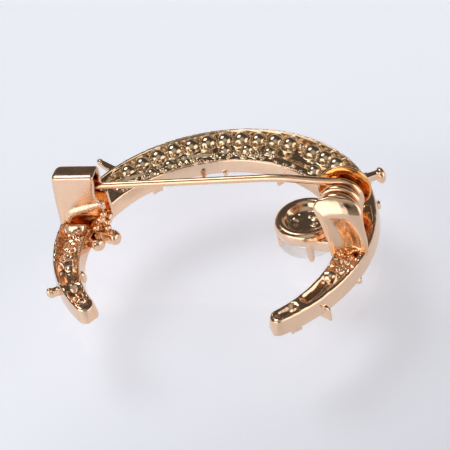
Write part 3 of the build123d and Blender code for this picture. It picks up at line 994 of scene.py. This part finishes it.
# %% [markdown]
# ## The stones
# A brilliant cut has a flat table, a ring of crown facets, a thin girdle and a pointed pavilion. The
# large crystal is cut the same way with a deep girdle. Facets stay flat shaded, so each one throws its
# own reflection. The small stones are one cut shape, repeated on their seats.

# %% Cut stones


def brilliant(name, radius, table_z, girdle, thickness, point_z, sides=8):
    # table, crown with kites, girdle and pavilion, all in one ring-by-ring skin
    rings = []
    for share, height, half_turn in ((0.58, table_z, 0), (0.84, table_z + (girdle - table_z) * 0.55, 1),
                                     (1.0, girdle, 0), (1.0, girdle + thickness, 0),
                                     (0.55, girdle + thickness + (point_z - girdle - thickness) * 0.5, 1),
                                     (0.03, point_z, 0)):
        turn = [math.pi * (2 * j + half_turn) / sides for j in range(sides)]
        rings.append([(radius * share * math.cos(t), radius * share * math.sin(t), height) for t in turn])
    return skin(name, rings)


STONE_TABLE = (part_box(STONES[0])[0].z - ring_centre.z) / MM
unit_stone = brilliant("unit stone", radius=1.0, table_z=0.0, girdle=0.42, thickness=0.12, point_z=1.3)
stones = repeat("face stones", [(x, y, STONE_TABLE, r) for x, y, r in SEATS], unit_stone, GLASS)
CRYSTAL_TABLE = (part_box("crystal")[0].z - ring_centre.z) / MM
crystal = brilliant("crystal cut", radius=4.22, table_z=0.0, girdle=0.9, thickness=1.75, point_z=3.1,
                    sides=24)
crystal.data.transform(Matrix.Translation((CUP.x, CUP.y, CRYSTAL_TABLE)))

# %% [markdown]
# Each finished piece is moved to metres in its mesh, given its material, and tied to the CAD body it
# belongs to. It stands for the plain CAD solid, which stays for collision.

# %% Place the pieces on the frame


def finish_piece(piece, name, material, smooth, on_body, slot, *nodes):
    piece.data.transform(TO_METRES)
    piece.name = name
    piece.data.name = name
    piece.data.materials.clear()
    piece.data.materials.append(material)
    piece.data.polygons.foreach_set("material_index", [0] * len(piece.data.polygons))
    piece.data.polygons.foreach_set("use_smooth", [smooth] * len(piece.data.polygons))
    piece.data.update()
    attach(piece, on_body)
    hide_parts(*nodes)
    print(name, "rides on", on_body, "with", len(piece.data.polygons), "faces")


finish_piece(casting, "crescent_casting", CAST_GOLD, True, "brooch", "cast_gold", "crescent_frame")
finish_piece(catch, "catch_hood_sheet", SATIN_GOLD, True, "brooch", "plated_gold", "catch_hood")
finish_piece(ears, "hinge_ears", PLATED_GOLD, True, "brooch", "plated_gold", "hinge_bracket")
finish_piece(stem, "pin_stem_wire", WIRE_GOLD, True, "pin", "wire_gold", "pin_stem")
finish_piece(stones, "face_stones", GLASS, False, "brooch", "clear_glass", *STONES)
finish_piece(crystal, "large_crystal", CRYSTAL_GLASS, False, "brooch", "clear_glass", "crystal")
post = frame["nodes"]["hinge_post"]
post.data.materials.clear()
post.data.materials.append(PLATED_GOLD)

# %% [markdown]
# ## The set
# The brooch lies on a clear sheet a little above a pale table, so its shadow falls soft and to one
# side. The table is matt, with a faint painted glow that stands in for the light on it, brightest at
# the far left. Seen from below it lets the view through, so the brooch's face can be looked at. The
# sheet only adds a faint reflection.

# %% Table and clear sheet
SHEET_GAP = 0.009
# the painted glow, light painted on the table, fades along this direction, between these two distances
FADE_ALONG = (0.035, -0.03, 0)
FADE_FROM = -0.0002
FADE_TO = 0.0022


def plane(name, size, height):
    half = size / 2
    corners = [(-half, -half, height), (half, -half, height), (half, half, height), (-half, half, height)]
    piece = new_piece(name, corners, [(0, 1, 2, 3)])
    return piece


def pale_paper():
    material = bpy.data.materials.new("pale paper")
    material.use_nodes = True
    nodes, link = material.node_tree.nodes, material.node_tree.links.new
    shader = nodes["Principled BSDF"]
    shader.inputs["Base Color"].default_value = (0.80, 0.84, 0.93, 1)
    shader.inputs["Roughness"].default_value = 0.7
    shader.inputs["Specular IOR Level"].default_value = 0.1
    shader.inputs["Emission Color"].default_value = (0.88, 0.91, 1.0, 1)
    where = nodes.new("ShaderNodeTexCoord")
    along = nodes.new("ShaderNodeVectorMath")
    along.operation = "DOT_PRODUCT"
    along.inputs[1].default_value = FADE_ALONG
    # painted light: emission brightest at the far left and fading across the table stands in for the light on
    # it
    fade = nodes.new("ShaderNodeMapRange")
    fade.inputs["From Min"].default_value = FADE_FROM
    fade.inputs["From Max"].default_value = FADE_TO
    fade.inputs["To Min"].default_value = 0.44
    fade.inputs["To Max"].default_value = 0.22
    side = nodes.new("ShaderNodeNewGeometry")
    see_through = nodes.new("ShaderNodeBsdfTransparent")
    either = nodes.new("ShaderNodeMixShader")
    link(where.outputs["Object"], along.inputs[0])
    link(along.outputs["Value"], fade.inputs["Value"])
    link(fade.outputs["Result"], shader.inputs["Emission Strength"])
    link(side.outputs["Backfacing"], either.inputs["Fac"])
    link(shader.outputs["BSDF"], either.inputs[1])
    link(see_through.outputs["BSDF"], either.inputs[2])
    link(either.outputs["Shader"], nodes["Material Output"].inputs["Surface"])
    return material


def clear_film():
    material = bpy.data.materials.new("clear sheet")
    material.use_nodes = True
    nodes, link = material.node_tree.nodes, material.node_tree.links.new
    nodes.clear()
    through = nodes.new("ShaderNodeBsdfTransparent")
    mirror = nodes.new("ShaderNodeBsdfGlossy")
    mirror.inputs["Roughness"].default_value = 0.08
    share = nodes.new("ShaderNodeMixShader")
    share.inputs["Fac"].default_value = 0.06
    out = nodes.new("ShaderNodeOutputMaterial")
    link(through.outputs["BSDF"], share.inputs[1])
    link(mirror.outputs["BSDF"], share.inputs[2])
    link(share.outputs["Shader"], out.inputs["Surface"])
    return material


table = plane("table", 3.0, -SHEET_GAP)
table.data.materials.append(pale_paper())
clear_sheet = plane("clear sheet", 0.4, 0.0)
clear_sheet.data.materials.append(clear_film())
clear_sheet.visible_shadow = False
print("table", round(SHEET_GAP / MM), "mm below the clear sheet")

# %% [markdown]
# Polished metal shows the studio more than itself, so the light is drawn as the studio: two large soft
# boxes left and right of the camera with somebody's dark shape between them, a dim lamp above, one
# strong lamp high behind on the left for the shadow, a glimmer low behind, and a dim ceiling over
# slightly paler walls. Each is a soft round patch in the world.

# %% Studio light
# azimuth (0 is the front, 90 the right), elevation, inner and outer angular radius, colour, strength
PATCHES = [(-36, 8, 28, 40, (1.0, 0.99, 0.98), 1.75), (76, 8, 28, 40, (1.0, 0.95, 0.89), 1.55),
           (240, 58, 8, 20, (1.0, 0.99, 0.98), 3.4), (165, 8, 12, 26, (1.0, 0.97, 0.95), 0.25),
           (15, 58, 10, 38, (1.0, 0.93, 0.84), 0.45)]
# the dark shape between the boxes: azimuth, elevation, inner and outer angular radius
SILHOUETTE = (4, 20, 4, 10)
AMBIENT = (0.085, 0.075, 0.065)
HORIZON = (0.2, 0.19, 0.18)
SHAPE_COLOUR = (0.03, 0.02, 0.015)
# the walls fade into the ceiling up to this height on the unit sphere
WALL_TOP = 0.55


def direction(azimuth, elevation):
    a, e = math.radians(azimuth), math.radians(elevation)
    return (math.sin(a) * math.cos(e), -math.cos(a) * math.cos(e), math.sin(e))


def soft_patch(nodes, link, look, azimuth, elevation, core, rim):
    # 1 within the angle core of a direction, falling to 0 at the angle rim
    facing = nodes.new("ShaderNodeVectorMath")
    facing.operation = "DOT_PRODUCT"
    facing.inputs[1].default_value = direction(azimuth, elevation)
    edge = nodes.new("ShaderNodeMapRange")
    edge.interpolation_type = "SMOOTHSTEP"
    edge.inputs["From Min"].default_value = math.cos(math.radians(rim))
    edge.inputs["From Max"].default_value = math.cos(math.radians(core))
    link(look.outputs["Generated"], facing.inputs[0])
    link(facing.outputs["Value"], edge.inputs["Value"])
    return edge.outputs["Result"]


def studio():
    world = bpy.data.worlds.new("studio")
    bpy.context.scene.world = world
    world.use_nodes = True
    nodes, link = world.node_tree.nodes, world.node_tree.links.new
    nodes.clear()
    look = nodes.new("ShaderNodeTexCoord")
    height = nodes.new("ShaderNodeSeparateXYZ")
    up = nodes.new("ShaderNodeMapRange")
    up.interpolation_type = "SMOOTHSTEP"
    up.inputs["From Min"].default_value = 0.0
    up.inputs["From Max"].default_value = WALL_TOP
    room = nodes.new("ShaderNodeMixRGB")
    room.inputs["Color1"].default_value = (*HORIZON, 1)
    room.inputs["Color2"].default_value = (*AMBIENT, 1)
    link(look.outputs["Generated"], height.inputs["Vector"])
    link(height.outputs["Z"], up.inputs["Value"])
    link(up.outputs["Result"], room.inputs["Fac"])
    total = room.outputs["Color"]
    for *place, colour, strength in PATCHES:
        add = nodes.new("ShaderNodeMixRGB")
        add.blend_type = "ADD"
        add.inputs["Color2"].default_value = (*[c * strength for c in colour], 1)
        link(soft_patch(nodes, link, look, *place), add.inputs["Fac"])
        link(total, add.inputs["Color1"])
        total = add.outputs["Color"]
    shape = nodes.new("ShaderNodeMixRGB")
    shape.inputs["Color2"].default_value = (*SHAPE_COLOUR, 1)
    background = nodes.new("ShaderNodeBackground")
    out = nodes.new("ShaderNodeOutputWorld")
    link(soft_patch(nodes, link, look, *SILHOUETTE), shape.inputs["Fac"])
    link(total, shape.inputs["Color1"])
    link(shape.outputs["Color"], background.inputs["Color"])
    link(background.outputs["Background"], out.inputs["Surface"])
    print("studio with", len(PATCHES), "soft patches")


studio()
bpy.context.scene.view_settings.view_transform = "Standard"

# %% [markdown]
# The camera looks down at the brooch's back from in front and a little to the right, slightly rolled,
# with a long lens so that the ring keeps its shape.

# %% Camera
AZIMUTH = 19.6
ELEVATION = 38.5
ROLL = 12.5
DISTANCE = 163.7
LENS = 96
AIM = (1.864, -0.299, 0.0)
aim = TO_METRES @ Vector(AIM)
forward = -Vector(direction(AZIMUTH, ELEVATION))
level = Vector((math.cos(math.radians(AZIMUTH)), math.sin(math.radians(AZIMUTH)), 0))
upright = level.cross(forward)
roll = math.radians(ROLL)
right = level * math.cos(roll) - upright * math.sin(roll)
top = level * math.sin(roll) + upright * math.cos(roll)
camera = bpy.data.objects.new("camera", bpy.data.cameras.new("camera"))
bpy.context.scene.collection.objects.link(camera)
camera.data.lens = LENS
camera.data.sensor_width = 36
camera.data.clip_start = 0.005
place = aim - forward * DISTANCE * MM
camera.matrix_world = Matrix((
    (right.x, top.x, -forward.x, place.x), (right.y, top.y, -forward.y, place.y),
    (right.z, top.z, -forward.z, place.z), (0, 0, 0, 1)))
bpy.context.scene.camera = camera
print("camera", DISTANCE, "mm from its aim with a", LENS, "mm lens")
